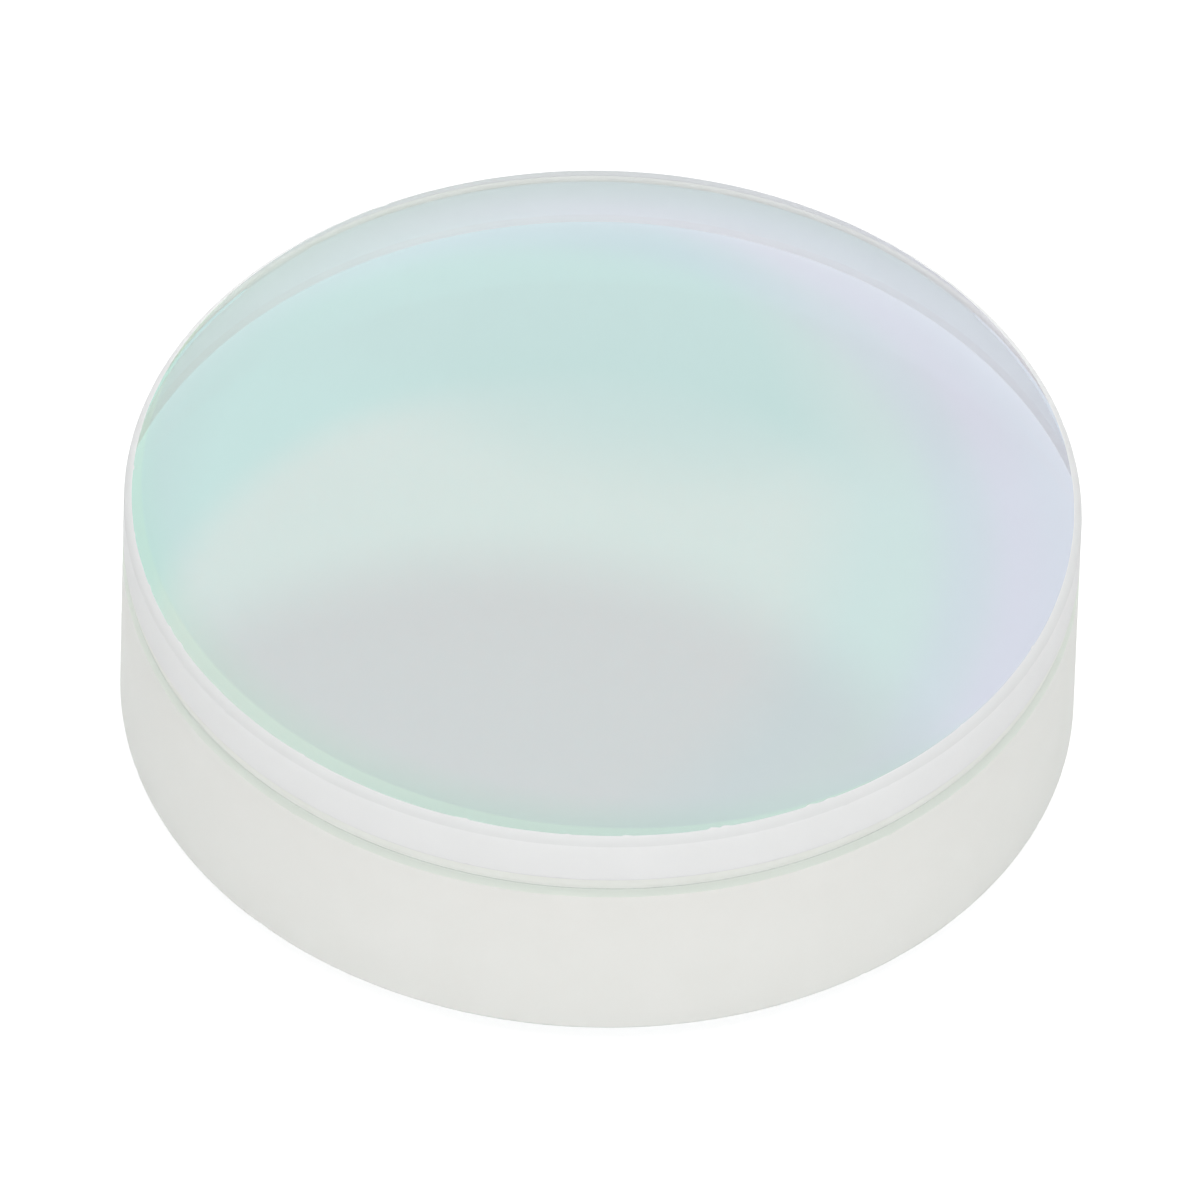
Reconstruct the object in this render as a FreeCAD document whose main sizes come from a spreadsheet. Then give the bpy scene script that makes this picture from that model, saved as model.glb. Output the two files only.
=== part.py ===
import FreeCAD, Part

import math
import os

import Sketcher

# Cemented achromatic doublet lens: a biconvex crown element, a film of optical adhesive and a flint element
# whose concave face has the same radius as the crown face that sits in it. Each element is 25.4 mm across,
# and together they focus at about 75 mm in the near infrared. The part's origin is the vertex of the
# flint's shallow rear face, and +Z runs along the optical axis, out of the crown's steep front face.

DRIVING_SIZES = (
    ("diameter", 25.4, "both elements, across the ground rims"),
    ("front_radius", 46.3, "spherical front face of the crown, convex"),
    ("cemented_radius", 37.6, "matched spherical faces of crown and flint"),
    ("rear_radius", 315.0, "spherical rear face of the flint, convex"),
    ("crown_rim", 1.24, "ground cylinder of the crown, along the axis"),
    ("flint_rim", 4.92, "ground cylinder of the flint, along the axis"),
    ("bond_thickness", 0.03, "adhesive film, along the axis"),
    ("front_bevel", 0.20, "45 degree bevel at the crown's front edge"),
    ("rear_bevel", 0.20, "45 degree bevel at the flint's rear edge"),
    ("flint_joint_bevel", 0.25, "45 degree bevel at the flint's cemented edge"),
    ("crown_joint_bevel", 0.25, "width of the bevel at the crown's cemented edge"),
    ("crown_joint_rise", 0.36, "height of that bevel along the axis"),
    ("bead_radius", 0.60, "rounding of the adhesive bead's wiped face"),
    ("bead_recess", 0.02, "widest line of the bead, below the rims"),
    ("bead_height", 0.54, "widest line of the bead, above the flint's rim"),
)

# Point numbers of a sketched edge, then the sketch's own origin and vertical axis
START, END, CENTRE = range(1, 4)
ORIGIN, AXIS = range(-1, -3, -1)

NORMAL = FreeCAD.Vector(0, 0, 1)
ACROSS = FreeCAD.Vector(0, 1, 0)

doc = FreeCAD.newDocument("achromatic_doublet_lens")
sizes = doc.addObject("Spreadsheet::Sheet", "sizes")
for row, (alias, number, note) in enumerate(DRIVING_SIZES, start=1):
    sizes.set(f"A{row}", note)
    sizes.set(f"B{row}", str(number))
    sizes.setAlias(f"B{row}", alias)
doc.recompute()


def point(x, y):
    """Point of a section: x is measured from the optical axis, y along it."""
    return FreeCAD.Vector(x, y, 0)


def sag(radius, half_width):
    """Depth of a spherical face from its vertex to where it is half_width from the axis."""
    return radius - math.sqrt(radius**2 - half_width**2)


def add_section(label):
    """Body with an empty sketch of its section, on its XZ plane."""
    body = doc.addObject("PartDesign::Body", f"{label}_blank")
    section = body.newObject("Sketcher::SketchObject", f"{label}_section")
    plane = next(item for item in body.Origin.OriginFeatures if item.Role == "XZ_Plane")
    section.AttachmentSupport = (plane, [""])
    section.MapMode = "FlatFace"
    return body, section


def constrain(section, kind, *places):
    return section.addConstraint(Sketcher.Constraint(kind, *places))


def drive(section, name, expression, kind, *places):
    """Dimension of a section that follows the driving sizes."""
    number = constrain(section, kind, *places, section.evalExpression(expression))
    section.renameConstraint(number, name)
    section.setExpression(f"Constraints.{name}", expression)


def measure(section, name, height, *places):
    """Height in a section that follows from its other dimensions, named for the pieces that use it."""
    number = constrain(section, "DistanceY", *places, height)
    section.renameConstraint(number, name)
    section.setDriving(number, False)


def add_chain(section, *corners):
    """Straight edges from corner to corner, joined end to end. Returns their numbers."""
    edges = [section.addGeometry(Part.LineSegment(*ends)) for ends in zip(corners, corners[1:])]
    for before, after in zip(edges, edges[1:]):
        constrain(section, "Coincident", before, END, after, START)
    return edges


def add_face_line(section, radius, vertex_y, half_width, bulges_up):
    """Guide arc of a polished face, centred on the axis and not revolved. Returns its number, with the
    point numbers of its vertex and of its edge."""
    swing = math.asin(half_width / radius)
    if bulges_up:
        circle = Part.Circle(point(0, vertex_y - radius), NORMAL, radius)
        arc = Part.ArcOfCircle(circle, math.pi / 2 - swing, math.pi / 2)
        vertex, edge = END, START
    else:
        circle = Part.Circle(point(0, vertex_y + radius), NORMAL, radius)
        arc = Part.ArcOfCircle(circle, -math.pi / 2, swing - math.pi / 2)
        vertex, edge = START, END
    face = section.addGeometry(arc, True)
    constrain(section, "PointOnObject", face, CENTRE, AXIS)
    return face, vertex, edge


def revolve(body, section):
    """Full turn of the section about the optical axis."""
    solid = body.newObject("PartDesign::Revolution", f"{section.Name}_turned")
    solid.Profile = section
    solid.ReferenceAxis = (section, ["V_Axis"])
    solid.Angle = 360.0


def add_ball(label, radius, centre_z, face_on_top):
    """Ball whose surface a polished face is part of. Its poles lie sideways and its seam opposite the face,
    so that the face is one patch with neither."""
    ball = doc.addObject("Part::Sphere", label)
    turn = 90 if face_on_top else -90
    ball.Placement = FreeCAD.Placement(FreeCAD.Vector(0, 0, 0), FreeCAD.Rotation(ACROSS, turn))
    ball.setExpression("Radius", radius)
    ball.setExpression("Placement.Base.z", centre_z)
    return ball


def add_boolean(kind, label, base, tool):
    """Part::Common keeps what base and tool share, and Part::Cut takes the tool from the base."""
    result = doc.addObject(kind, label)
    result.Base = base
    result.Tool = tool
    return result


def add_element(label, rear, rim_length, front, front_bulges_up):
    """Lens element that stands on its rear vertex. rear and front hold the aliases of the face's radius and
    of its bevel's width and height. The rear face always bulges down. The blank is revolved with its
    bevels run on to the axis as cones, and the balls then cut the cones off at the polished faces."""
    body, section = add_section(label)
    rear_radius, rear_width, rear_height = rear
    front_radius, front_width, front_height = front

    rim_x = sizes.get("diameter") / 2
    rear_x = rim_x - sizes.get(rear_width)
    rim_low = sag(sizes.get(rear_radius), rear_x) + sizes.get(rear_height)
    rear_tip = rim_low - rim_x * sizes.get(rear_height) / sizes.get(rear_width)
    rim_high = rim_low + sizes.get(rim_length)
    front_tip = rim_high + rim_x * sizes.get(front_height) / sizes.get(front_width)
    front_x = rim_x - sizes.get(front_width)
    front_sag = sag(sizes.get(front_radius), front_x)
    vertex_y = rim_high + sizes.get(front_height) + (front_sag if front_bulges_up else -front_sag)

    rear_cone, rim, front_cone, axis = add_chain(
        section,
        point(0, rear_tip),
        point(rim_x, rim_low),
        point(rim_x, rim_high),
        point(0, front_tip),
        point(0, rear_tip),
    )
    constrain(section, "Coincident", axis, END, rear_cone, START)
    constrain(section, "PointOnObject", axis, START, AXIS)
    constrain(section, "PointOnObject", axis, END, AXIS)
    constrain(section, "Vertical", rim)
    rear_face, rear_vertex, rear_edge = add_face_line(section, sizes.get(rear_radius), 0, rear_x, False)
    constrain(section, "Coincident", rear_face, rear_vertex, ORIGIN, START)
    constrain(section, "PointOnObject", rear_face, rear_edge, rear_cone)
    front_face, front_vertex, front_edge = add_face_line(
        section, sizes.get(front_radius), vertex_y, front_x, front_bulges_up
    )
    constrain(section, "PointOnObject", front_face, front_vertex, AXIS)
    constrain(section, "PointOnObject", front_face, front_edge, front_cone)
    drive(section, "rim_radius", "sizes.diameter / 2", "DistanceX", ORIGIN, START, rim, START)
    drive(section, "rim_length", f"sizes.{rim_length}", "DistanceY", rim, START, rim, END)
    drive(section, "rear_radius", f"sizes.{rear_radius}", "Radius", rear_face)
    drive(section, "rear_run", f"sizes.{rear_width}", "DistanceX", rear_face, rear_edge, rim, START)
    drive(section, "rear_rise", f"sizes.{rear_height}", "DistanceY", rear_face, rear_edge, rim, START)
    drive(section, "front_radius", f"sizes.{front_radius}", "Radius", front_face)
    drive(section, "front_run", f"sizes.{front_width}", "DistanceX", front_face, front_edge, rim, END)
    drive(section, "front_rise", f"sizes.{front_height}", "DistanceY", rim, END, front_face, front_edge)
    measure(section, "rim_top", rim_high, ORIGIN, START, rim, END)
    measure(section, "centre_thickness", vertex_y, ORIGIN, START, front_face, front_vertex)
    revolve(body, section)

    rear_centre = f"sizes.{rear_radius}"
    rear_ball = add_ball(f"{label}_rear_ball", f"sizes.{rear_radius}", rear_centre, False)
    side = "-" if front_bulges_up else "+"
    front_centre = f"{section.Name}.Constraints.centre_thickness {side} sizes.{front_radius} * 1 mm"
    front_ball = add_ball(f"{label}_front_ball", f"sizes.{front_radius}", front_centre, front_bulges_up)
    rear_done = add_boolean("Part::Common", f"{label}_rear_polished", body, rear_ball)
    return add_boolean("Part::Common" if front_bulges_up else "Part::Cut", label, rear_done, front_ball)


def add_cement(label, flint, crown):
    """Adhesive that fills what the two elements leave between them: a film between the matched faces, and a
    bead in the groove of the joint bevels. It is revolved as a disc whose round edge is the bead's face."""
    body, section = add_section(label)
    rim_top = f"{flint.Name}_section.Constraints.rim_top"
    inside_flint = f"{flint.Name}_section.Constraints.centre_thickness / 2"
    radius = sizes.get("bead_radius")
    bead_x = sizes.get("diameter") / 2 - sizes.get("bead_recess") - radius
    bead_y = section.evalExpression(rim_top).Value + sizes.get("bead_height")
    low_y = section.evalExpression(inside_flint).Value

    bead_circle = Part.Circle(point(bead_x, bead_y), NORMAL, radius)
    bead = section.addGeometry(Part.ArcOfCircle(bead_circle, -math.pi / 2, math.pi / 2))
    ceiling, axis, floor, wall = add_chain(
        section,
        point(bead_x, bead_y + radius),
        point(0, bead_y + radius),
        point(0, low_y),
        point(bead_x, low_y),
        point(bead_x, bead_y - radius),
    )
    constrain(section, "Coincident", bead, END, ceiling, START)
    constrain(section, "Coincident", wall, END, bead, START)
    constrain(section, "PointOnObject", axis, START, AXIS)
    constrain(section, "PointOnObject", axis, END, AXIS)
    constrain(section, "Horizontal", ceiling)
    constrain(section, "Horizontal", floor)
    constrain(section, "Vertical", wall)
    constrain(section, "Vertical", bead, START, bead, CENTRE)
    constrain(section, "Vertical", bead, END, bead, CENTRE)
    bead_reach = "sizes.diameter / 2 - sizes.bead_recess - sizes.bead_radius"
    bead_rise = f"{rim_top} + sizes.bead_height * 1 mm"
    drive(section, "radius", "sizes.bead_radius", "Radius", bead)
    drive(section, "reach", bead_reach, "DistanceX", ORIGIN, START, bead, CENTRE)
    drive(section, "height", bead_rise, "DistanceY", ORIGIN, START, bead, CENTRE)
    drive(section, "depth", inside_flint, "DistanceY", ORIGIN, START, floor, START)
    revolve(body, section)

    off_the_flint = add_boolean("Part::Cut", f"{label}_off_the_flint", body, flint)
    return add_boolean("Part::Cut", label, off_the_flint, crown)


flint = add_element(
    "flint_element",
    rear=("rear_radius", "rear_bevel", "rear_bevel"),
    rim_length="flint_rim",
    front=("cemented_radius", "flint_joint_bevel", "flint_joint_bevel"),
    front_bulges_up=False,
)
crown = add_element(
    "crown_element",
    rear=("cemented_radius", "crown_joint_bevel", "crown_joint_rise"),
    rim_length="crown_rim",
    front=("front_radius", "front_bevel", "front_bevel"),
    front_bulges_up=True,
)

# The crown stands on the adhesive, and the adhesive on the flint
on_the_adhesive = "flint_element_section.Constraints.centre_thickness + sizes.bond_thickness * 1 mm"
crown.setExpression("Placement.Base.z", on_the_adhesive)
cement = add_cement("cement_layer", flint, crown)
doc.recompute()

for item in doc.Objects:
    if "Invalid" in item.State or "Error" in item.State:
        raise RuntimeError(f"{item.Label} did not rebuild: {item.State}")

os.makedirs("parts", exist_ok=True)
for piece in (crown, cement, flint):
    if piece.Shape.isNull() or not piece.Shape.isValid():
        raise RuntimeError(f"{piece.Label} has no valid solid")
    piece.Shape.exportStep(f"parts/{piece.Label}.step")
    box = piece.Shape.optimalBoundingBox(False)
    print(f"{piece.Label}: {piece.Shape.Volume:.2f} mm3, from z {box.ZMin:.3f} to {box.ZMax:.3f} mm")
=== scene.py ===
# %% [markdown]
# # A cemented achromatic doublet lens
#
# This notebook dresses a small cemented lens: a steep crown element on top, a film of optical adhesive, and
# a flint element below. All three are solids of revolution, so each one is a thin outline, spun round the
# optical axis. What makes the lens look like a lens comes from the finishes: two polished and coated faces,
# fine ground rims, bevels that catch the light, and a pale line where the adhesive meets the rim.
#
# Everything is in metres, because that is what the frame uses, so each size in millimetres goes through
# `mm()` once.

import math
import random

import bmesh
import bpy
from mathutils import Matrix, Vector


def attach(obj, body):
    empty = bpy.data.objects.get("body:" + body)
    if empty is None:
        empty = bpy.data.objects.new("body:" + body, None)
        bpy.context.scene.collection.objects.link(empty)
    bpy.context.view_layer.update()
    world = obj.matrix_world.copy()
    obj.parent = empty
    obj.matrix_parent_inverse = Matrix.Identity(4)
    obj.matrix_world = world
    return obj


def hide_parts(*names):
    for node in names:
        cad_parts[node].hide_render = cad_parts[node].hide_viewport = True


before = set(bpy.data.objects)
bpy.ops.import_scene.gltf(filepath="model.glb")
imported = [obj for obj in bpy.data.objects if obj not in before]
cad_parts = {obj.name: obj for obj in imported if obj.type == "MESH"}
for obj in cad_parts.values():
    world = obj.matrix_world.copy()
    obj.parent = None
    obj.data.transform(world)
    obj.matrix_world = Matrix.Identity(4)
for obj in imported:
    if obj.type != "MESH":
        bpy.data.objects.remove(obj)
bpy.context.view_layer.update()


def mm(value):
    return value * 0.001


# %% [markdown]
# ## The sizes of the lens
#
# The looks follow the solids to the hundredth of a millimetre, so the same few numbers come back here: the
# three face radii, the two rim lengths and the small bevels that protect each edge. A lens face is part of
# a sphere, and the depth of that cap is its *sag*. Once the sag is known, every height in the stack
# follows from the vertex of the rear face upwards.

# %% Sizes and heights
RIM = mm(12.7)
FRONT_RADIUS = mm(46.3)
CEMENTED_RADIUS = mm(37.6)
REAR_RADIUS = mm(315.0)
CROWN_RIM = mm(1.24)
FLINT_RIM = mm(4.92)
BOND = mm(0.03)
EDGE_BEVEL = mm(0.20)
JOINT_BEVEL = mm(0.25)
CROWN_JOINT_RISE = mm(0.36)


def sag(radius, half_width):
    """Depth of a spherical cap."""
    return radius - math.sqrt(radius**2 - half_width**2)


FACE_EDGE = RIM - EDGE_BEVEL
JOINT_EDGE = RIM - JOINT_BEVEL
FLINT_RIM_LOW = sag(REAR_RADIUS, FACE_EDGE) + EDGE_BEVEL
FLINT_RIM_TOP = FLINT_RIM_LOW + FLINT_RIM
FLINT_VERTEX = FLINT_RIM_TOP + JOINT_BEVEL - sag(CEMENTED_RADIUS, JOINT_EDGE)
CROWN_VERTEX_LOW = FLINT_VERTEX + BOND
CROWN_RIM_LOW = CROWN_VERTEX_LOW + sag(CEMENTED_RADIUS, JOINT_EDGE) + CROWN_JOINT_RISE
CROWN_RIM_TOP = CROWN_RIM_LOW + CROWN_RIM
TOP_VERTEX = CROWN_RIM_TOP + EDGE_BEVEL + sag(FRONT_RADIUS, FACE_EDGE)
print(f"flint rim {FLINT_RIM_LOW / mm(1):.3f} to {FLINT_RIM_TOP / mm(1):.3f} mm")
print(f"crown rim {CROWN_RIM_LOW / mm(1):.3f} to {CROWN_RIM_TOP / mm(1):.3f} mm")
print(f"front vertex {TOP_VERTEX / mm(1):.3f} mm")

# %% [markdown]
# ## Colours written as they look
#
# A hex colour such as `#E4E5E2` is how the finish looks on a screen. Blender's shaders work in linear
# light, so one small function turns the hex text into linear numbers and every colour goes through it.

# %% Hex colours to linear light
def linear(hex_text):
    """sRGB hex text such as #E4E5E2, as linear red, green, blue and alpha."""
    channels = [int(hex_text[start:start + 2], 16) / 255 for start in (1, 3, 5)]
    return [c / 12.92 if c <= 0.04045 else ((c + 0.055) / 1.055) ** 2.4 for c in channels] + [1.0]


# %% [markdown]
# ## A short way to add shader nodes
#
# Procedural finishes are small node trees. `add_node` makes one node, sets its values by their names, and
# wires any input that is given another node's output. With it, a finish reads as a short recipe.

# %% Adding shader nodes
def new_finish(name):
    """Material with an empty node tree. Returns the material and its node tree."""
    material = bpy.data.materials.new(name)
    material.use_nodes = True
    material.node_tree.nodes.clear()
    return material, material.node_tree


def add_node(tree, kind, settings=None, **inputs):
    """One shader node. settings holds its own options, and inputs its sockets: a value, or the output of
    another node. Underscores in an input's name stand for spaces."""
    node = tree.nodes.new(kind)
    for name, value in (settings or {}).items():
        setattr(node, name, value)
    for name, value in inputs.items():
        socket = node.inputs[name.replace("_", " ")]
        if isinstance(value, bpy.types.NodeSocket):
            tree.links.new(value, socket)
        else:
            socket.default_value = value
    return node


def finish_with(tree, shader):
    """Wires a shader to the surface of its material."""
    output = tree.nodes.new("ShaderNodeOutputMaterial")
    tree.links.new(shader.outputs[0], output.inputs["Surface"])


def finish_with_mix(material, tree, surface, through, let_through):
    """Ends a material with a surface that lets part of the light through. let_through is that part."""
    both = add_node(tree, "ShaderNodeMixShader", Fac=let_through)
    tree.links.new(surface.outputs[0], both.inputs[1])
    tree.links.new(through.outputs[0], both.inputs[2])
    finish_with(tree, both)
    return material


# %% [markdown]
# ## Polished glass with an anti-reflection coating
#
# The outer faces are clear glass, so the shader is full transmission with no roughness and the true index
# of refraction: about 1.65 for barium crown and 1.77 for dense flint.
#
# An anti-reflection coating for the near infrared is a stack a few hundred nanometres thick. In visible
# light it colours the reflection, and the colour goes by the thickness. The vapour that it grows from lies
# thinner on the sloping outer part of a curved face, so the reflection is green over the middle and turns
# blue and then violet towards the edge. Here the ramps are centred on a spot a little off the axis, so that
# the colours lie lopsided on the face the way the studio's light falls on it. One colour ramp over the
# distance
# from that spot gives the *specular tint*: the coating's own colour with painted reflection of the studio.
# Another gives the colour of what is seen through the face: the glass's faint tint with painted shade of
# what lies beyond it, darker in some zones and lavender towards the edge.
#
# Each *margin* is a circle a little off the axis, which fades in between two radii. The margins are painted
# shade and painted reflection near the rim. On the crown, one turns a side greyer, one darkens the left edge
# and keeps its reflection green, and a thin ring darkens the reflection at the very edge. On the flint, one
# keeps the reflection teal and darkens what is seen through the right side. A shader that works the colours
# out from the thickness would be truer to nature, but ramps are far easier to match to a lens on the desk.

# %% Coated face finish
CROWN_IOR = 1.65
FLINT_IOR = 1.77
ADHESIVE_IOR = 1.56
RAMP_REACH = mm(16)


def distance_from(tree, centre):
    """Distance of each surface point from a line through centre along the optical axis, in metres."""
    place = add_node(tree, "ShaderNodeTexCoord").outputs["Object"]
    flat = add_node(tree, "ShaderNodeVectorMath", {"operation": "MULTIPLY"})
    tree.links.new(place, flat.inputs[0])
    flat.inputs[1].default_value = (1, 1, 0)
    reach = add_node(tree, "ShaderNodeVectorMath", {"operation": "DISTANCE"})
    tree.links.new(flat.outputs["Vector"], reach.inputs[0])
    reach.inputs[1].default_value = (*centre, 0)
    return reach.outputs["Value"]


def ramp_over(tree, value, start, end, stops, blend="EASE"):
    """Colour ramp along a value from start to end. stops are (value, hex colour)."""
    share = add_node(tree, "ShaderNodeMapRange", Value=value, From_Min=start, From_Max=end)
    ramp_node = add_node(tree, "ShaderNodeValToRGB", Fac=share.outputs["Result"])
    ramp = ramp_node.color_ramp
    ramp.interpolation = blend
    while len(ramp.elements) < len(stops):
        ramp.elements.new(0.5)
    for element, (stop, colour) in zip(ramp.elements, stops):
        element.position = (stop - start) / (end - start)
        element.color = linear(colour)
    return ramp_node.outputs["Color"]


def laid_over(tree, under, over, share):
    """The colour over laid on the colour under, as strongly as share says."""
    mix = add_node(tree, "ShaderNodeMix", {"data_type": "RGBA"}, Factor=share)
    tree.links.new(under, mix.inputs["A"])
    mix.inputs["B"].default_value = linear(over)
    return mix.outputs["Result"]


def coated_face(name, ior, ramp_centre, reflected_stops, seen_stops, shade_and_reflection_margins=()):
    """Coated polished glass. reflected_stops and seen_stops are the colours, out from a spot a little off
    the axis, of what the face reflects and of what is seen through it: the coating's and the glass's own
    tints, with painted reflection and painted shade. Each margin is (centre, inner radius, outer radius,
    reflected colour, seen colour): a border of painted shade and painted reflection that comes in between
    the two radii."""
    material, tree = new_finish(name)
    reach = distance_from(tree, ramp_centre)
    reflected = ramp_over(tree, reach, 0, RAMP_REACH, reflected_stops)
    seen = ramp_over(tree, reach, 0, RAMP_REACH, seen_stops)
    # each margin lays painted shade and painted reflection over the ramps near the rim
    for centre, inner, outer, reflected_margin, seen_margin in shade_and_reflection_margins:
        margin_reach = distance_from(tree, centre)
        share = add_node(tree, "ShaderNodeMapRange", Value=margin_reach, From_Min=inner, From_Max=outer)
        reflected = laid_over(tree, reflected, reflected_margin, share.outputs["Result"])
        seen = laid_over(tree, seen, seen_margin, share.outputs["Result"])
    glass = add_node(
        tree,
        "ShaderNodeBsdfPrincipled",
        Base_Color=seen,
        Transmission_Weight=1.0,
        Roughness=0.0,
        IOR=ior,
        Specular_Tint=reflected,
    )
    finish_with(tree, glass)
    return material


# The crown's ramps hold the coating's colours with painted reflection and painted shade, centred off the
# axis.
crown_coated = coated_face(
    "Barium crown glass, coated face",
    CROWN_IOR,
    (mm(-2.2), mm(-2.6)),
    [
        (mm(0), "#8BFFDC"),
        (mm(10.2), "#8BFFDC"),
        (mm(11.6), "#94C4E8"),
        (mm(13), "#D0B4F4"),
        (mm(15), "#E0B8F0"),
    ],
    [
        (mm(0), "#D5E0DF"),
        (mm(10.8), "#D4DFDF"),
        (mm(12.1), "#D6D9E3"),
        (mm(13.3), "#DFD7EA"),
        (mm(14.5), "#DBD8EA"),
    ],
    [
        # painted shade and reflection near the rim: a greyer side, a darker green left edge, a thin dark
        # outer ring
        ((mm(1.50), mm(-1.50)), mm(12.0), mm(14.2), "#70D8B8", "#CBD3D4"),
        ((mm(0.80), mm(1.20)), mm(12.5), mm(13.6), "#80D8C0", "#C6E1D5"),
        ((mm(0.30), mm(0.30)), mm(12.52), mm(12.58), "#284838", "#D1EBD9"),
    ],
)
# The flint's ramps and margin give the rear face's coating tint, and painted shade that darkens what is seen
# through it towards the edge.
flint_coated = coated_face(
    "Dense flint glass, coated face",
    FLINT_IOR,
    (mm(-0.9), mm(-3.8)),
    [(mm(0), "#FF7C59"), (mm(9.6), "#FF7C59"), (mm(11.3), "#3F8F84")],
    [(mm(0), "#D0DEDD"), (mm(9.6), "#D0DEDD"), (mm(11.3), "#BDDDDC")],
    [((mm(-9.0), mm(3.0)), mm(13.6), mm(15.6), "#3F8F84", "#CCDDDE")],
)
print("coated faces:", crown_coated.name, "and", flint_coated.name)

# %% [markdown]
# ## Cemented faces
#
# Where two glasses are cemented, light never meets air, so the bend is small. The shader's index is the
# ratio of the glass to the adhesive, and that keeps each ray at its true angle through the stack.

# %% Cemented face finish
def cemented_face(name, glass_ior):
    """Polished glass against the adhesive."""
    material, tree = new_finish(name)
    glass = add_node(
        tree,
        "ShaderNodeBsdfPrincipled",
        Base_Color=linear("#FFFFFF"),
        Transmission_Weight=1.0,
        Roughness=0.0,
        IOR=glass_ior / ADHESIVE_IOR,
    )
    finish_with(tree, glass)
    return material


crown_cemented = cemented_face("Barium crown glass, cemented face", CROWN_IOR)
flint_cemented = cemented_face("Dense flint glass, cemented face", FLINT_IOR)
print(f"index ratios: crown {CROWN_IOR / ADHESIVE_IOR:.3f}, flint {FLINT_IOR / ADHESIVE_IOR:.3f}")

# %% [markdown]
# ## Fine ground glass
#
# The rims are ground with fine emery and never polished, so they scatter light in all directions and look
# white. Part of the light also goes on through the ground skin, which is why the far rim glows when it is
# seen through the face. A mix of a rough surface and a *translucent* one does both: clear glass with a rough
# normal would be truer, and needs many more samples to come out smooth.
#
# The grit is about a twentieth of a millimetre, and finer on the bevels. A noise texture in the object's own
# coordinates bumps the surface by a few microns, and a wider, fainter noise varies the tone as the emery
# left it.

# %% Ground finish
RIM_GRIT = mm(0.05)
BEVEL_GRIT = mm(0.03)
EMERY_PATCH = mm(1.6)
GRIT_DEPTH = mm(0.01)


def ground_glass(name, colour, darker, through_colour, grit=RIM_GRIT, let_through=0.45):
    """Ground glass that sends part of the light on through it. let_through is that part."""
    material, tree = new_finish(name)
    place = add_node(tree, "ShaderNodeTexCoord").outputs["Object"]
    patches = add_node(tree, "ShaderNodeTexNoise", Vector=place, Scale=1 / EMERY_PATCH, Detail=3.0)
    tone = add_node(tree, "ShaderNodeMix", {"data_type": "RGBA"}, Factor=patches.outputs["Fac"])
    tone.inputs["A"].default_value = linear(darker)
    tone.inputs["B"].default_value = linear(colour)
    emery = add_node(tree, "ShaderNodeTexNoise", Vector=place, Scale=1 / grit, Detail=2.0)
    bump = add_node(
        tree, "ShaderNodeBump", Height=emery.outputs["Fac"], Strength=0.35, Distance=GRIT_DEPTH
    )
    surface = add_node(
        tree,
        "ShaderNodeBsdfPrincipled",
        Base_Color=tone.outputs["Result"],
        Roughness=0.6,
        IOR=1.5,
        Normal=bump.outputs["Normal"],
    )
    through = add_node(tree, "ShaderNodeBsdfTranslucent", Color=linear(through_colour))
    return finish_with_mix(material, tree, surface, through, let_through)


crown_ground = ground_glass("Barium crown glass, ground rim", "#F7F6F6", "#F2F1F1", "#F3F4F4")
flint_ground = ground_glass(
    "Dense flint glass, ground rim", "#F5F0EC", "#EFEAE5", "#E6F4F3", let_through=0.42
)
crown_bevel = ground_glass(
    "Barium crown glass, fine ground bevel", "#EAEAEA", "#E5E5E5", "#EEEEEE", BEVEL_GRIT
)
flint_bevel = ground_glass(
    "Dense flint glass, fine ground bevel", "#F0F1ED", "#EAECE7", "#EAF2F0", BEVEL_GRIT, let_through=0.50
)
joint_bevel = ground_glass(
    "Dense flint glass, bare joint bevel", "#F2F6EE", "#ECF0E7", "#F4F8F2", BEVEL_GRIT, let_through=0.55
)
print(f"grit {RIM_GRIT / mm(1):.2f} mm on the rims and {BEVEL_GRIT / mm(1):.2f} mm on the bevels")

# %% [markdown]
# ## Cured adhesive
#
# The adhesive is clear, but the bead that the fitter wipes round the joint picks up a little grinding dust
# and cures a pale cream. It is smooth and a little glossy beside the ground glass. Half of the light goes on
# through it, so the bead doesn't stand as a dark ring when the far rim is seen through the lens. Where it
# lies against the glass there is no skin of dust, and almost no bend of the light.

# %% Adhesive finish
WIPE_MARK = mm(0.9)


def cured_adhesive(name):
    """The bead's outer skin."""
    material, tree = new_finish(name)
    place = add_node(tree, "ShaderNodeTexCoord").outputs["Object"]
    wiped = add_node(tree, "ShaderNodeTexNoise", Vector=place, Scale=1 / WIPE_MARK, Detail=3.0)
    cream = add_node(tree, "ShaderNodeMix", {"data_type": "RGBA"}, Factor=wiped.outputs["Fac"])
    cream.inputs["A"].default_value = linear("#F5F6EF")
    cream.inputs["B"].default_value = linear("#FAFBF7")
    bead = add_node(
        tree,
        "ShaderNodeBsdfPrincipled",
        Base_Color=cream.outputs["Result"],
        Roughness=0.3,
        IOR=ADHESIVE_IOR,
    )
    through = add_node(tree, "ShaderNodeBsdfTranslucent", Color=cream.outputs["Result"])
    return finish_with_mix(material, tree, bead, through, let_through=0.5)


def wetting_adhesive(name):
    """The bead's faces against the glass."""
    material, tree = new_finish(name)
    wetted = add_node(
        tree,
        "ShaderNodeBsdfPrincipled",
        Base_Color=linear("#FFFFFF"),
        Transmission_Weight=1.0,
        Roughness=0.0,
        IOR=1.01,
    )
    finish_with(tree, wetted)
    return material


adhesive_bead = cured_adhesive("Cured optical adhesive, wiped bead")
adhesive_inside = wetting_adhesive("Cured optical adhesive, against the glass")
print("adhesive:", adhesive_bead.name, "and", adhesive_inside.name)

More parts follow.
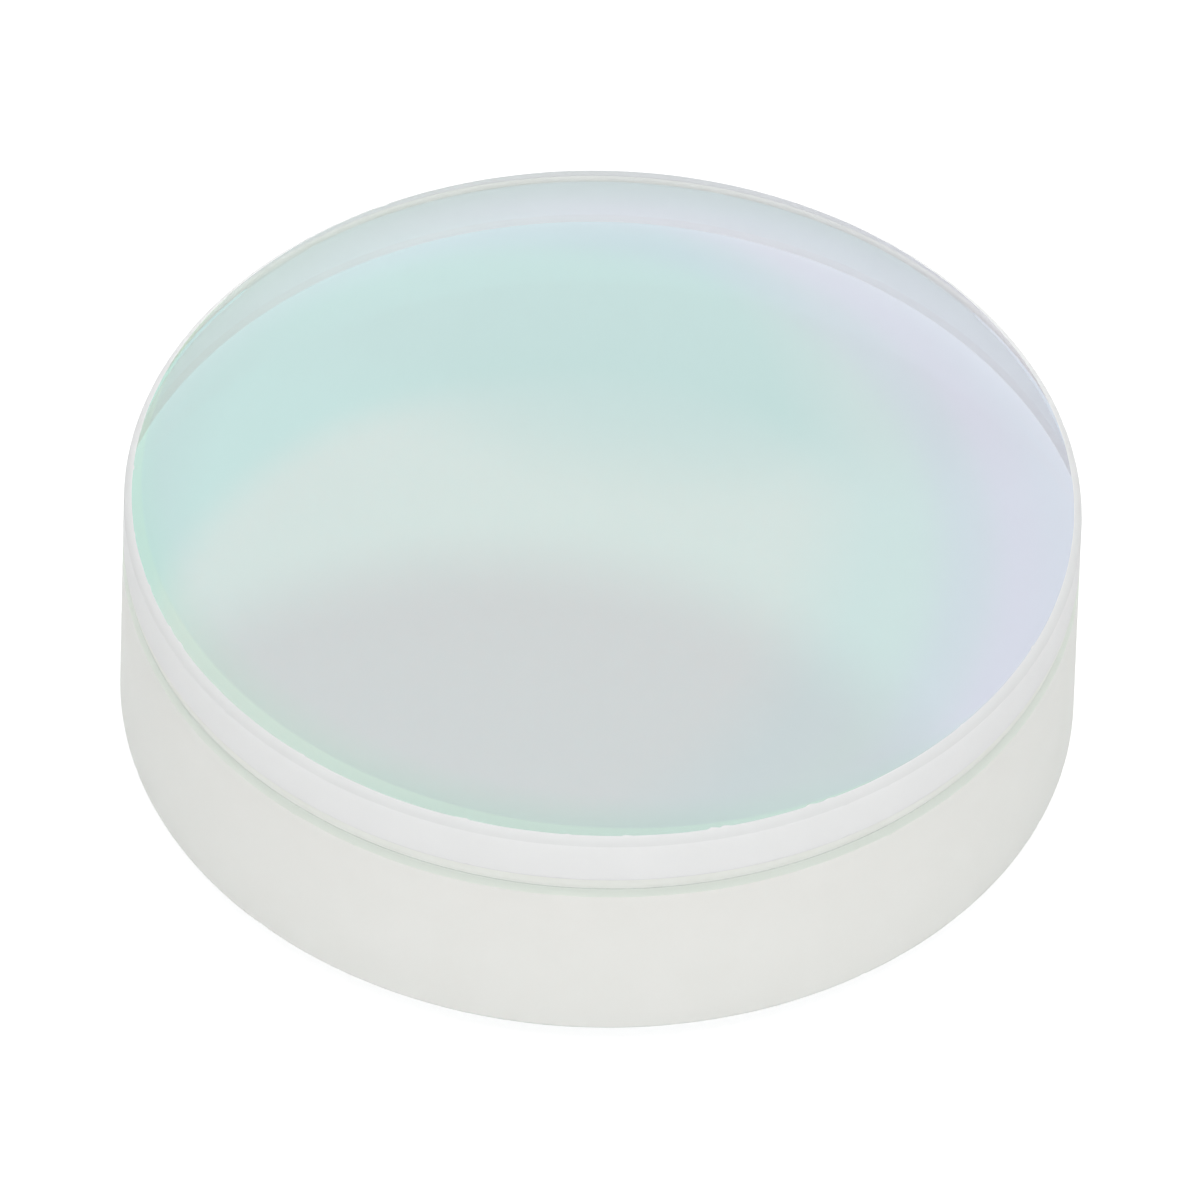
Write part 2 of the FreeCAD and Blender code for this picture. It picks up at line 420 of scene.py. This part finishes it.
# %% [markdown]
# ## Spinning an outline into a lens element
#
# Each piece is drawn as half of its section: a chain of points from the rear vertex, out to the rim and back
# to the front vertex. `bmesh.ops.spin` turns that chain through an eighth of a turn, and the sector is then
# copied round. Merging the doubled points closes the seams and the two poles. Each ring of faces takes the
# finish of the stretch of outline that made it.
#
# Everything is shaded smooth, apart from the edges where two finishes meet and the true corners. Ground rims
# and ground bevels are the exception: emery leaves a soft corner between them, so that edge stays smooth.

# %% Outline and spin
AROUND = 720
SECTORS = 8
CAP_RINGS = 22
CORNER = mm(0.09)
SHARP_CORNER = math.radians(15)
SAME_POINT = mm(0.0005)
COATED, GROUND, BEVEL, CEMENTED, JOINT = range(5)


def cap_points(radius, vertex_height, half_width, bulges_up):
    """Points of a polished face from its vertex out to its edge."""
    side = -1 if bulges_up else 1
    reach = [half_width * ring / CAP_RINGS for ring in range(CAP_RINGS + 1)]
    return [Vector((x, 0, vertex_height + side * sag(radius, x))) for x in reach]


def rim_points(low, top):
    """Points up a rim. The extra one near each end keeps the soft shading of its corner close to it."""
    return [Vector((RIM, 0, height)) for height in (low, low + CORNER, top - CORNER, top)]


def spin_all_round(work):
    """Spins an outline through one sector, then copies it three times, doubling it each time. One long
    spin gives the same shape and takes ten times as long."""
    sector = math.tau / SECTORS
    bmesh.ops.spin(
        work,
        geom=work.verts[:] + work.edges[:],
        cent=(0, 0, 0),
        axis=(0, 0, 1),
        angle=sector,
        steps=AROUND // SECTORS,
    )
    for turn in (sector, 2 * sector, 4 * sector):
        whole = work.verts[:] + work.edges[:] + work.faces[:]
        copied = bmesh.ops.duplicate(work, geom=whole)["geom"]
        points = [item for item in copied if isinstance(item, bmesh.types.BMVert)]
        bmesh.ops.rotate(work, cent=(0, 0, 0), matrix=Matrix.Rotation(turn, 3, "Z"), verts=points)
    bmesh.ops.remove_doubles(work, verts=work.verts, dist=SAME_POINT)
    bmesh.ops.recalc_face_normals(work, faces=work.faces)
    for face in work.faces:
        face.smooth = True


def draw_chain(work, points):
    """Draws points as one chain of edges, leaving out each one that repeats the point before it."""
    last = None
    for place in points:
        if last is not None and (place - last.co).length <= SAME_POINT:
            continue
        vertex = work.verts.new(place)
        if last is not None:
            work.edges.new((last, vertex))
        last = vertex


def finished_piece(name, work, finishes):
    """Turns a mesh in work into an object with its finishes."""
    mesh = bpy.data.meshes.new(name)
    work.to_mesh(mesh)
    work.free()
    for finish in finishes:
        mesh.materials.append(finish)
    piece = bpy.data.objects.new(name, mesh)
    bpy.context.collection.objects.link(piece)
    print(f"{name}: {len(mesh.polygons)} faces, {[round(d / mm(1), 3) for d in piece.dimensions]} mm")
    return piece


def spin_stretches(name, stretches, finishes, worn_edges):
    """Piece of revolution. stretches is a list of (points, finish number), end to end from the lower pole
    to the upper one. worn_edges are the edges that wear_edge works on."""
    work = bmesh.new()
    draw_chain(work, [place for points, _ in stretches for place in points])
    spin_all_round(work)
    name_finishes(work, stretches)
    for edge in worn_edges:
        wear_edge(work, *edge)
    return finished_piece(name, work, finishes)


def name_finishes(work, stretches):
    """Gives each face the finish of the stretch that its middle lies on, and marks the sharp edges. All the
    faces of one ring have the same spot in the section, so each spot is looked up once."""
    ring_finish = {}
    for face in work.faces:
        middle = face.calc_center_median()
        spot = (round(math.hypot(middle.x, middle.y), 7), 0, round(middle.z, 7))
        if spot not in ring_finish:
            nearest = min(stretches, key=lambda stretch: distance_to(Vector(spot), stretch[0]))
            ring_finish[spot] = nearest[1]
        face.material_index = ring_finish[spot]
    for edge in work.edges:
        sides = {face.material_index for face in edge.link_faces}
        rounded_by_emery = sides == {GROUND, BEVEL}
        one_surface = len(sides) == 1 and edge.calc_face_angle() < SHARP_CORNER
        edge.smooth = rounded_by_emery or one_surface


def distance_to(spot, points):
    """Distance from a spot in the section to a chain of points."""
    best = math.inf
    for start, end in zip(points, points[1:]):
        along = end - start
        share = max(0.0, min(1.0, (spot - start).dot(along) / along.length_squared))
        best = min(best, (start + along * share - spot).length)
    return best


# %% [markdown]
# ## Edges that a hand has ground
#
# The bevels are ground by hand on a spinning dish, so their borders wander by a hundredth of a millimetre
# or two, and here and there the grit has pulled out a flake. Both are shapes, so they go into the mesh: each
# point of an edge slides a little way along the face that the bevel cuts into. The wander is a sum of sine
# waves that close on themselves round the rim. The draws are seeded, so every run makes the same lens.

# %% Wandering borders and small flakes
WAVES_ROUND = (3, 5, 11, 19, 31, 47)
FLAKE_SHALLOW = mm(0.015)
FLAKE_DEEP = mm(0.045)
ON_EDGE = mm(0.0008)


def wear_edge(work, spot, inward, wander, flakes, seed):
    """Slides the points of one circular edge along inward, a direction in the section. wander is the most
    that its border strays, and flakes is the number of small flakes."""
    draw = random.Random(seed)
    waves = [(turns, draw.uniform(0, math.tau), draw.uniform(0.4, 1.0)) for turns in WAVES_ROUND]
    total = sum(size for _, _, size in waves)
    flake_depths = {}
    for _ in range(flakes):
        step = draw.randrange(AROUND)
        depth = draw.uniform(FLAKE_SHALLOW, FLAKE_DEEP)
        flake_depths[step] = depth
        if draw.random() < 0.5:
            flake_depths[(step + 1) % AROUND] = depth * draw.uniform(0.4, 0.9)
    moved = 0
    for vertex in work.verts:
        reach = math.hypot(vertex.co.x, vertex.co.y)
        if abs(reach - spot.x) > ON_EDGE or abs(vertex.co.z - spot.z) > ON_EDGE:
            continue
        turn = math.atan2(vertex.co.y, vertex.co.x)
        wave = sum(size * math.sin(turns * turn + phase) for turns, phase, size in waves) / total
        step = round(turn / math.tau * AROUND) % AROUND
        depth = wander * (0.5 + 0.5 * wave) + flake_depths.get(step, 0.0)
        share = 1 + inward[0] * depth / reach
        vertex.co = Vector((vertex.co.x * share, vertex.co.y * share, vertex.co.z + inward[1] * depth))
        moved += 1
    print(f"worn edge at {spot.x / mm(1):.2f}, {spot.z / mm(1):.2f} mm: {moved} points, {flakes} flakes")


# %% [markdown]
# ## The flint element
#
# The lower element stands on a face so shallow that it looks flat. Its hollow upper face takes the crown.
# The outer half of its joint bevel stays bare and shows as a thin green-grey line. The adhesive wets the
# inner half, and a wetted bevel is as clear as a polished face, so that stretch has the cemented finish.

# %% Flint element
BARE_FLINT = mm(0.155)


def section_point(x, height):
    return Vector((x, 0, height))


flint_bare_end = section_point(RIM - BARE_FLINT, FLINT_RIM_TOP + BARE_FLINT)
flint = spin_stretches(
    "flint_lens",
    [
        (cap_points(REAR_RADIUS, 0, FACE_EDGE, bulges_up=False), COATED),
        ([section_point(FACE_EDGE, FLINT_RIM_LOW - EDGE_BEVEL), section_point(RIM, FLINT_RIM_LOW)], BEVEL),
        (rim_points(FLINT_RIM_LOW, FLINT_RIM_TOP), GROUND),
        ([section_point(RIM, FLINT_RIM_TOP), flint_bare_end], JOINT),
        ([flint_bare_end, section_point(JOINT_EDGE, FLINT_RIM_TOP + JOINT_BEVEL)], CEMENTED),
        (cap_points(CEMENTED_RADIUS, FLINT_VERTEX, JOINT_EDGE, bulges_up=False)[::-1], CEMENTED),
    ],
    [flint_coated, flint_ground, flint_bevel, flint_cemented, joint_bevel],
    [
        (section_point(RIM, FLINT_RIM_TOP), (0, -1), mm(0.03), 26, 11),
        (section_point(RIM, FLINT_RIM_LOW), (0, 1), mm(0.02), 18, 12),
    ],
)
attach(flint, "root")
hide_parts("flint_element")

# %% [markdown]
# ## The crown element
#
# The upper element is the steep one. Both of its faces bulge, and its rim is a narrow band. Only a hair of
# its joint bevel stays bare of adhesive.

# %% Crown element
BARE_CROWN = mm(0.032)
ALONG_FACE_IN = (-0.963, 0.270)

crown_bare_start = section_point(
    RIM - BARE_CROWN * JOINT_BEVEL / CROWN_JOINT_RISE, CROWN_RIM_LOW - BARE_CROWN
)
crown_face_edge = section_point(FACE_EDGE, CROWN_RIM_TOP + EDGE_BEVEL)
crown = spin_stretches(
    "crown_lens",
    [
        (cap_points(CEMENTED_RADIUS, CROWN_VERTEX_LOW, JOINT_EDGE, bulges_up=False), CEMENTED),
        ([section_point(JOINT_EDGE, CROWN_RIM_LOW - CROWN_JOINT_RISE), crown_bare_start], CEMENTED),
        ([crown_bare_start, section_point(RIM, CROWN_RIM_LOW)], BEVEL),
        (rim_points(CROWN_RIM_LOW, CROWN_RIM_TOP), GROUND),
        ([section_point(RIM, CROWN_RIM_TOP), crown_face_edge], BEVEL),
        (cap_points(FRONT_RADIUS, TOP_VERTEX, FACE_EDGE, bulges_up=True)[::-1], COATED),
    ],
    [crown_coated, crown_ground, crown_bevel, crown_cemented],
    [
        (crown_face_edge, ALONG_FACE_IN, mm(0.02), 20, 21),
        (section_point(RIM, CROWN_RIM_TOP), (0, -1), mm(0.02), 12, 22),
        (section_point(RIM, CROWN_RIM_LOW), (0, 1), mm(0.02), 16, 23),
    ],
)
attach(crown, "root")
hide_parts("crown_element")

# %% [markdown]
# ## The bead of adhesive
#
# Between the polished faces the film is clear and far too thin to see, and the finish of the cemented faces
# stands for it. What shows is the bead in the groove of the joint bevels, so the bead is what is modelled:
# a ring with a rounded outer face, tucked just inside both rims. Its outer face is cream, and the faces
# that wet the glass are clear.

# %% Adhesive bead
BEAD_RADIUS = mm(0.60)
BEAD_REACH = RIM - mm(0.02) - BEAD_RADIUS
BEAD_HEIGHT = FLINT_RIM_TOP + mm(0.54)
BEAD_STEPS = 14
GAP = mm(0.004)
ON_OUTER_FACE = mm(0.003)


def bead_section():
    """Closed outline of the bead: its round outer face, then back along the two bevels."""
    low = math.asin((FLINT_RIM_TOP + BARE_FLINT - BEAD_HEIGHT) / BEAD_RADIUS)
    high = math.asin((CROWN_RIM_LOW - BARE_CROWN - BEAD_HEIGHT) / BEAD_RADIUS)
    turns = [low + (high - low) * step / BEAD_STEPS for step in range(BEAD_STEPS + 1)]
    outer = [
        section_point(BEAD_REACH + BEAD_RADIUS * math.cos(turn), BEAD_HEIGHT + BEAD_RADIUS * math.sin(turn))
        for turn in turns
    ]
    inner_top = section_point(JOINT_EDGE, FLINT_RIM_TOP + JOINT_BEVEL + BOND - GAP)
    inner_low = section_point(JOINT_EDGE, FLINT_RIM_TOP + JOINT_BEVEL + GAP)
    return outer + [inner_top, inner_low]


work = bmesh.new()
corners = [work.verts.new(place) for place in bead_section()]
for start, end in zip(corners, corners[1:] + corners[:1]):
    work.edges.new((start, end))
spin_all_round(work)
for face in work.faces:
    middle = face.calc_center_median()
    across = math.hypot(math.hypot(middle.x, middle.y) - BEAD_REACH, middle.z - BEAD_HEIGHT)
    face.material_index = 0 if abs(across - BEAD_RADIUS) < ON_OUTER_FACE else 1
for edge in work.edges:
    edge.smooth = len({face.material_index for face in edge.link_faces}) == 1
bead = finished_piece("adhesive_bead", work, [adhesive_bead, adhesive_inside])
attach(bead, "root")
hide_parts("cement_layer")

# %% [markdown]
# ## The floor
#
# A plain white floor that keeps the shadow. Rays from the camera, from reflections and through the glass see
# it partly glowing, so that it reads as white paper, while the light it throws on the lens stays plain.
# The *Light Path* node tells the kinds of ray apart.

# %% Floor
PAPER_GLOW = 0.84


def glow_for_sight(tree, seen, lit):
    """Mixes two shaders: seen for camera, reflection and transmission rays, lit for all others."""
    path = add_node(tree, "ShaderNodeLightPath").outputs
    sight = add_node(tree, "ShaderNodeMath", {"operation": "MAXIMUM"})
    tree.links.new(path["Is Camera Ray"], sight.inputs[0])
    tree.links.new(path["Is Glossy Ray"], sight.inputs[1])
    both = add_node(tree, "ShaderNodeMath", {"operation": "MAXIMUM"})
    tree.links.new(sight.outputs[0], both.inputs[0])
    tree.links.new(path["Is Transmission Ray"], both.inputs[1])
    mix = add_node(tree, "ShaderNodeMixShader", Fac=both.outputs[0])
    tree.links.new(lit.outputs[0], mix.inputs[1])
    tree.links.new(seen.outputs[0], mix.inputs[2])
    return mix


floor_paper, tree = new_finish("White paper floor")
paper = add_node(tree, "ShaderNodeBsdfDiffuse", Color=linear("#E2E2E2"))
half_paper = add_node(tree, "ShaderNodeBsdfDiffuse", Color=linear("#848484"))
glow = add_node(tree, "ShaderNodeEmission", Color=linear("#FFFFFF"), Strength=PAPER_GLOW)
seen_floor = add_node(tree, "ShaderNodeAddShader")
tree.links.new(half_paper.outputs[0], seen_floor.inputs[0])
tree.links.new(glow.outputs[0], seen_floor.inputs[1])
finish_with(tree, glow_for_sight(tree, seen_floor, paper))

bpy.ops.mesh.primitive_plane_add(size=6.0, location=(0, 0, -mm(0.02)))
floor = bpy.context.object
floor.name = "floor"
floor.data.materials.append(floor_paper)
print("floor at", round(floor.location.z / mm(1), 3), "mm")

# %% [markdown]
# ## Soft studio light
#
# A photographer lights glass by what it reflects. Here the world does that: rays that come straight off the
# lens see a broad bright softbox overhead, a little to one side, with grey above and below it. Its lower
# border is what fades across the back of the coated face, and its upper one leaves the grey pool in front.
# Rays that met a rough surface first see a plain even room, and the camera sees white.
#
# Three large panels, above, in front and behind, give the rims their gentle fall-off. They are hidden from
# reflections and from rays through the glass, so they light the lens without lying on it as squares.

# %% World and lamps
SOFTBOX_UP = (-0.125, 0.033, 0.992)
SOFTBOX = [(0.25, "#707070"), (0.46, "#F4F4F4"), (0.79, "#FFFFFF"), (0.875, "#303030")]
SOFTBOX_STRENGTH = 1.65
ROOM_STRENGTH = 0.61

world = bpy.data.worlds.new("Studio")
bpy.context.scene.world = world
world.use_nodes = True
tree = world.node_tree
tree.nodes.clear()
toward = add_node(tree, "ShaderNodeTexCoord").outputs["Generated"]
overhead = add_node(tree, "ShaderNodeVectorMath", {"operation": "DOT_PRODUCT"})
tree.links.new(toward, overhead.inputs[0])
overhead.inputs[1].default_value = SOFTBOX_UP
ceiling = ramp_over(tree, overhead.outputs["Value"], 0, 1, SOFTBOX)
room = add_node(tree, "ShaderNodeBackground", Color=linear("#FFFFFF"), Strength=ROOM_STRENGTH)
white = add_node(tree, "ShaderNodeBackground", Color=linear("#FFFFFF"), Strength=1.0)
softbox = add_node(tree, "ShaderNodeBackground", Color=ceiling, Strength=SOFTBOX_STRENGTH)
sky = glow_for_sight(tree, white, room)
path = add_node(tree, "ShaderNodeLightPath").outputs
unscattered = add_node(tree, "ShaderNodeMath", {"operation": "LESS_THAN"})
tree.links.new(path["Diffuse Depth"], unscattered.inputs[0])
unscattered.inputs[1].default_value = 0.5
off_the_lens = add_node(tree, "ShaderNodeMath", {"operation": "SUBTRACT", "use_clamp": True})
tree.links.new(unscattered.outputs[0], off_the_lens.inputs[0])
tree.links.new(path["Is Camera Ray"], off_the_lens.inputs[1])
with_softbox = add_node(tree, "ShaderNodeMixShader", Fac=off_the_lens.outputs[0])
tree.links.new(sky.outputs[0], with_softbox.inputs[1])
tree.links.new(softbox.outputs[0], with_softbox.inputs[2])
world_output = tree.nodes.new("ShaderNodeOutputWorld")
tree.links.new(with_softbox.outputs[0], world_output.inputs["Surface"])


def add_panel(name, place, width, height, power):
    """Rectangular lamp that faces the lens."""
    lamp = bpy.data.lights.new(name, "AREA")
    lamp.shape = "RECTANGLE"
    lamp.size = width
    lamp.size_y = height
    lamp.energy = power
    panel = bpy.data.objects.new(name, lamp)
    panel.location = place
    panel.rotation_euler = (-Vector(place)).to_track_quat("-Z", "Y").to_euler()
    panel.visible_glossy = False
    panel.visible_transmission = False
    bpy.context.collection.objects.link(panel)


add_panel("top_panel", (0.0, 0.05, 0.45), 0.5, 0.4, 1.6)
add_panel("front_panel", (0.04, -0.50, 0.14), 0.35, 0.25, 1.05)
add_panel("back_panel", (0.0, 0.50, 0.15), 0.6, 0.25, 2.3)
print("lamps:", len(bpy.data.lights))

# %% [markdown]
# ## The camera
#
# A small object is photographed from well back with a long lens, which keeps the rim's ellipse even. The
# camera looks down at about 45 degrees and leans a little, so the lens sits slightly turned in the frame.
# Its aim is set up from the foot of the rim, which is where the outline of the lens ends.

# %% Camera
FRAME_WIDTH = mm(31.959)
DISTANCE = 1.0
ELEVATION = math.radians(45.02)
LEAN = math.radians(1.86)
AIM_SIDEWAYS = mm(0.004)
AIM_UP = mm(2.308)
SENSOR_WIDTH = 36.0

back = Vector((0, -math.cos(ELEVATION), math.sin(ELEVATION)))
up = Vector((0, math.sin(ELEVATION), math.cos(ELEVATION)))
rim_foot = Vector((0, 0, FLINT_RIM_LOW))
aim = rim_foot + Vector((AIM_SIDEWAYS, 0, 0)) + up * AIM_UP

camera_data = bpy.data.cameras.new("camera")
camera_data.sensor_width = SENSOR_WIDTH
camera_data.lens = SENSOR_WIDTH * DISTANCE / FRAME_WIDTH
camera_data.clip_end = 20.0
camera = bpy.data.objects.new("camera", camera_data)
facing = back.to_track_quat("Z", "Y").to_matrix()
camera.matrix_world = (
    Matrix.Translation(aim + back * DISTANCE) @ (facing @ Matrix.Rotation(LEAN, 3, "Z")).to_4x4()
)
bpy.context.collection.objects.link(camera)
bpy.context.scene.camera = camera
bpy.context.scene.view_settings.view_transform = "Standard"
print(f"camera {DISTANCE} m away, {camera_data.lens:.0f} mm lens")
